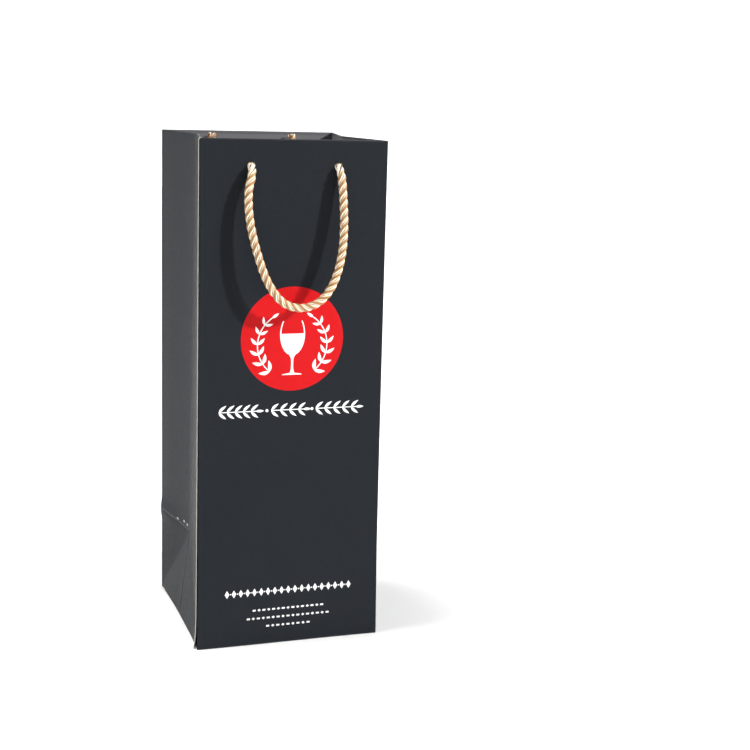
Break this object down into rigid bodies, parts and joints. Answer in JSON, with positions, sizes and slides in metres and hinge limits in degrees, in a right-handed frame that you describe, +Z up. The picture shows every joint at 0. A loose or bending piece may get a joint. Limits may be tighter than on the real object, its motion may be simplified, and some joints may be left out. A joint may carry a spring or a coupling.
{
  "type": "wine gift bag",
  "caption": "Tall square-based dark paper gift bag for a wine bottle, with side gussets, a turned-in rim, a base board and knotted twisted-rope handles.",
  "frame": {"origin": "middle of the bag's underside, where it stands", "axes": "+Z up from base to rim, the printed front faces -Y, +X to the right seen from the front"},
  "size_m": [0.125, 0.1585, 0.34],
  "materials": {
    "laminated_paper": "matt film-laminated dark navy print with a soft sheen, fine grain and stress-whitened creases",
    "stiffener_card": "plain grey-brown board inside the turned-in rim",
    "base_board": "plain grey board",
    "gold_rope": "twisted satin rope in pale gold, silky with fine filaments",
    "red_print": "bright red printed disc under the matt film",
    "white_print": "white printed ornament under the matt film",
    "raw_paper": "unprinted cut paper edge"
  },
  "bodies": {
    "bag": {"front_panel": "laminated_paper", "rear_panel": "laminated_paper", "left_gusset_front_half": "laminated_paper", "left_gusset_rear_half": "laminated_paper", "right_gusset_front_half": "laminated_paper", "right_gusset_rear_half": "laminated_paper", "glue_tab": "laminated_paper", "front_hem": "laminated_paper", "rear_hem": "laminated_paper", "left_hem_front_half": "laminated_paper", "left_hem_rear_half": "laminated_paper", "right_hem_front_half": "laminated_paper", "right_hem_rear_half": "laminated_paper", "front_reinforcement_card": "stiffener_card", "rear_reinforcement_card": "stiffener_card", "front_bottom_flap": "laminated_paper", "rear_bottom_flap": "laminated_paper", "left_bottom_flap": "laminated_paper", "right_bottom_flap": "laminated_paper", "base_board": "base_board", "front_left_knot": "gold_rope", "front_right_knot": "gold_rope", "rear_left_knot": "gold_rope", "rear_right_knot": "gold_rope"},
    "front_handle": {"front_cord": "gold_rope"},
    "rear_handle": {"rear_cord": "gold_rope"}
  },
  "joints": [
    {"name": "front_handle_swing", "type": "hinge", "parent": "bag", "child": "front_handle", "pos_m": [0, -0.06555, 0.323], "axis": [-1, 0, 0], "range_deg": [0, 170]},
    {"name": "rear_handle_swing", "type": "hinge", "parent": "bag", "child": "rear_handle", "pos_m": [0, 0.06555, 0.323], "axis": [1, 0, 0], "range_deg": [0, 170]}
  ]
}
